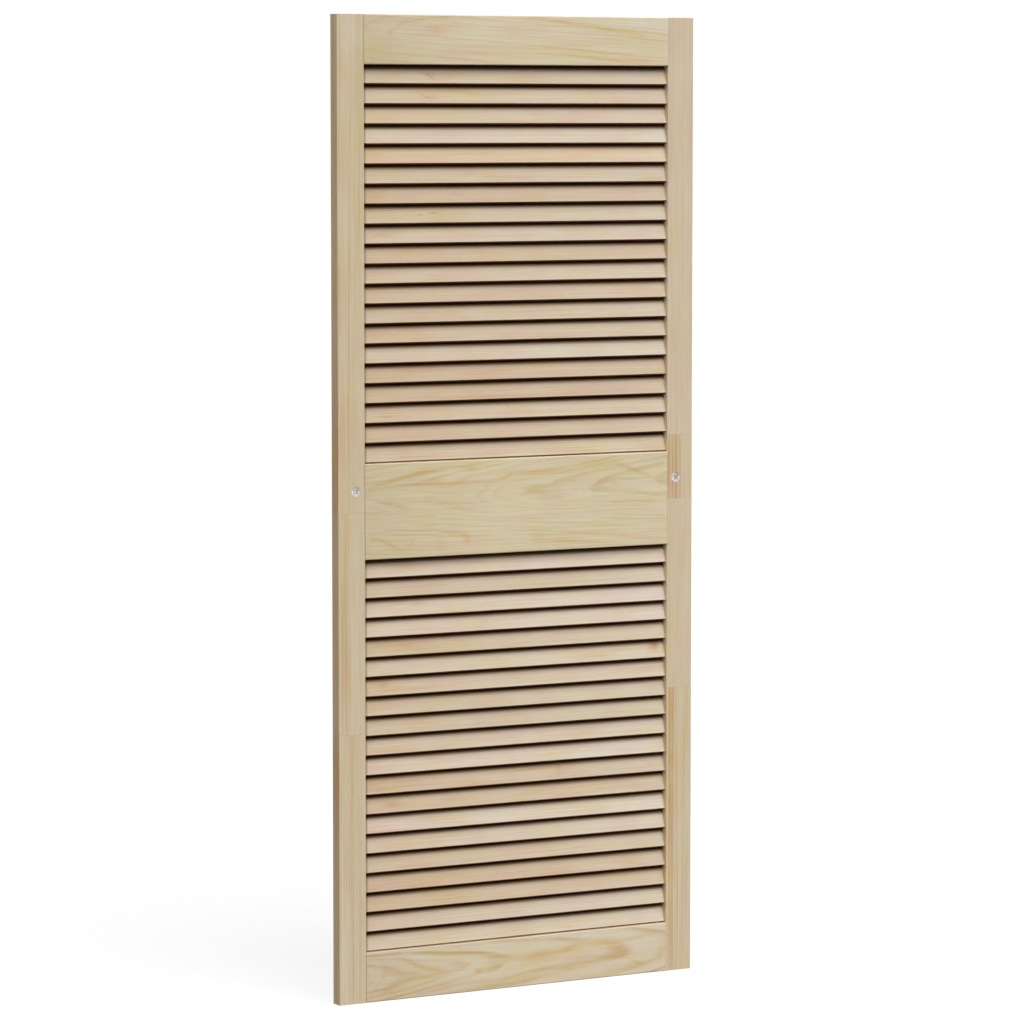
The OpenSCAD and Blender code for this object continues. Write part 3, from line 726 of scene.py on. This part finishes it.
metalLook = {
    "cloud": {"scales": (0.35, 0.35, 0.35), "detail": 3.0},
    "cloudRamp": (0.35, 0.65),
    "grit": {"scales": (4.0, 4.0, 4.0), "detail": 3.0, "roughness": 0.7, "shift": 5.0},
    "gritRoughness": 0.18,
    "gritHeight": 0.02,
    "scuff": {"scales": (6.0, 6.0, 0.7), "detail": 2.0, "shift": 9.0},
    "scuffRamp": (0.6, 0.7),
    "scuffStrength": 0.3,
    "scuffRoughRamp": (0.55, 0.7),
    "scuffRoughness": 0.08,
    "scuffHeight": 0.02,
    "bump": 0.5,
}
camLook = {
    "bright": linear(226, 220, 216),
    "dull": linear(192, 185, 179),
    "scuffed": linear(150, 143, 136),
    "roughness": 0.31,
    # painted reflection: the upper half darker
    "topShade": (740.0, 749.0),
    "topShadeColour": (0.68, 0.63, 0.58, 1.0),
}
boltLook = {
    "bright": linear(216, 216, 210),
    "dull": linear(190, 190, 184),
    "scuffed": linear(150, 148, 140),
    "roughness": 0.28,
}


def makeMetal(name, settings):
    material, tree = newMaterial(name)
    place = inMm(tree, addNode(tree, "ShaderNodeTexCoord").outputs["Object"])
    cloud = noise(tree, place, metalLook["cloud"])
    grit = noise(tree, place, metalLook["grit"])
    scuff = noise(tree, place, metalLook["scuff"])
    colour = tinted(tree, ramp(tree, cloud, *metalLook["cloudRamp"]), settings["dull"], settings["bright"])
    scuffed = times(tree, ramp(tree, scuff, *metalLook["scuffRamp"]), metalLook["scuffStrength"])
    colour = tinted(tree, scuffed, colour, settings["scuffed"])
    if "topShade" in settings:
        # painted reflection: the upper half is darker, as if it reflected darker surroundings
        topShaded = ramp(tree, dot(tree, place, (0, 0, 1)), *settings["topShade"])
        colour = stained(tree, topShaded, colour, settings["topShadeColour"])
    scuffRough = times(tree, ramp(tree, scuff, *metalLook["scuffRoughRamp"]), metalLook["scuffRoughness"])
    rough = plus(tree, settings["roughness"], times(tree, grit, metalLook["gritRoughness"]), scuffRough)
    height = plus(tree, times(tree, grit, metalLook["gritHeight"]),
                  times(tree, scuff, metalLook["scuffHeight"]))
    addSurface(tree, colour, rough, height, metalLook["bump"], {"Metallic": 1.0})
    return material


camMetal = makeMetal("cast_zinc", camLook)
boltMetal = makeMetal("plated_steel", boltLook)
for side in ("left", "right"):
    dress(side + "_cam", camMetal)
    dress(side + "_cam_bolt", boltMetal)
print("dowels, cams and bolts finished")

# the floor and the world give the door next to no light, and show as a white background
stageLook = {"floorSize": 80.0, "floorColour": 0.03, "shownDiffuse": 0.14, "shownGlow": 0.83,
             "ambient": 0.02, "shownWorld": 1.0}


def seen(tree):
    # seen by the camera, or in or through something glossy
    ray = addNode(tree, "ShaderNodeLightPath").outputs
    reflected = calc(tree, "MAXIMUM", ray["Is Glossy Ray"], ray["Is Transmission Ray"])
    return calc(tree, "MAXIMUM", ray["Is Camera Ray"], reflected)


def diffuse(tree, grey):
    return addNode(tree, "ShaderNodeBsdfDiffuse", {"Color": (grey, grey, grey, 1)}).outputs[0]


def backdrop(tree, strength):
    return addNode(tree, "ShaderNodeBackground", {"Color": (1, 1, 1, 1), "Strength": strength}).outputs[0]


def makeFloor():
    mesh = bpy.data.meshes.new("studio_floor")
    half = stageLook["floorSize"] / 2
    corners = [(-half, -half, 0), (half, -half, 0), (half, half, 0), (-half, half, 0)]
    mesh.from_pydata(corners, [], [(0, 1, 2, 3)])
    floor = bpy.data.objects.new("studio_floor", mesh)
    scene.collection.objects.link(floor)
    material, tree = newMaterial("studio_floor")
    glow = addNode(tree, "ShaderNodeEmission", {"Color": (1, 1, 1, 1), "Strength": stageLook["shownGlow"]})
    shown = addNode(tree, "ShaderNodeAddShader", {
        0: diffuse(tree, stageLook["shownDiffuse"]), 1: glow.outputs[0]})
    mixed = addNode(tree, "ShaderNodeMixShader", {
        0: seen(tree), 1: diffuse(tree, stageLook["floorColour"]), 2: shown.outputs[0]})
    output = addNode(tree, "ShaderNodeOutputMaterial")
    tree.links.new(mixed.outputs[0], output.inputs[0])
    mesh.materials.append(material)


def makeWorld():
    world = bpy.data.worlds.new("studio")
    world.use_nodes = True
    tree = world.node_tree
    tree.nodes.clear()
    ambient = backdrop(tree, stageLook["ambient"])
    shown = backdrop(tree, stageLook["shownWorld"])
    mixed = addNode(tree, "ShaderNodeMixShader", {0: seen(tree), 1: ambient, 2: shown})
    output = addNode(tree, "ShaderNodeOutputWorld")
    tree.links.new(mixed.outputs[0], output.inputs[0])
    scene.world = world


lampLook = {
    "key": {"direction": (0.05, -0.60, 0.80), "angle": 50, "strength": 4.02},
    "fill": {"direction": (-0.86, -0.25, 0.42), "angle": 40, "strength": 0.8},
    "side": {"direction": (0.88, 0.20, 0.36), "angle": 40, "strength": 1.05},
    "rear": {"direction": (0.10, 0.95, 0.22), "angle": 40, "strength": 2.4},
}


def makeLamp(name, look):
    data = bpy.data.lights.new(name, "SUN")
    data.angle = math.radians(look["angle"])
    data.energy = look["strength"]
    lamp = bpy.data.objects.new(name, data)
    scene.collection.objects.link(lamp)
    lamp.rotation_mode = "QUATERNION"
    lamp.rotation_quaternion = Vector(look["direction"]).to_track_quat("Z", "Y")


cameraLook = {"place": (-3.3079, -5.8107, 1.2802), "turn": 29.609, "lookDown": 4.951, "lens": 161.39,
              "sensorWidth": 36, "farthest": 200}


def makeCamera():
    data = bpy.data.cameras.new("camera")
    data.lens = cameraLook["lens"]
    data.sensor_width = cameraLook["sensorWidth"]
    data.clip_end = cameraLook["farthest"]
    camera = bpy.data.objects.new("camera", data)
    scene.collection.objects.link(camera)
    camera.location = cameraLook["place"]
    lookUp = math.radians(90 - cameraLook["lookDown"])
    camera.rotation_euler = (lookUp, 0, -math.radians(cameraLook["turn"]))
    scene.camera = camera


makeFloor()
makeWorld()
for name, look in lampLook.items():
    makeLamp(name, look)
makeCamera()
print("floor, light and camera set")
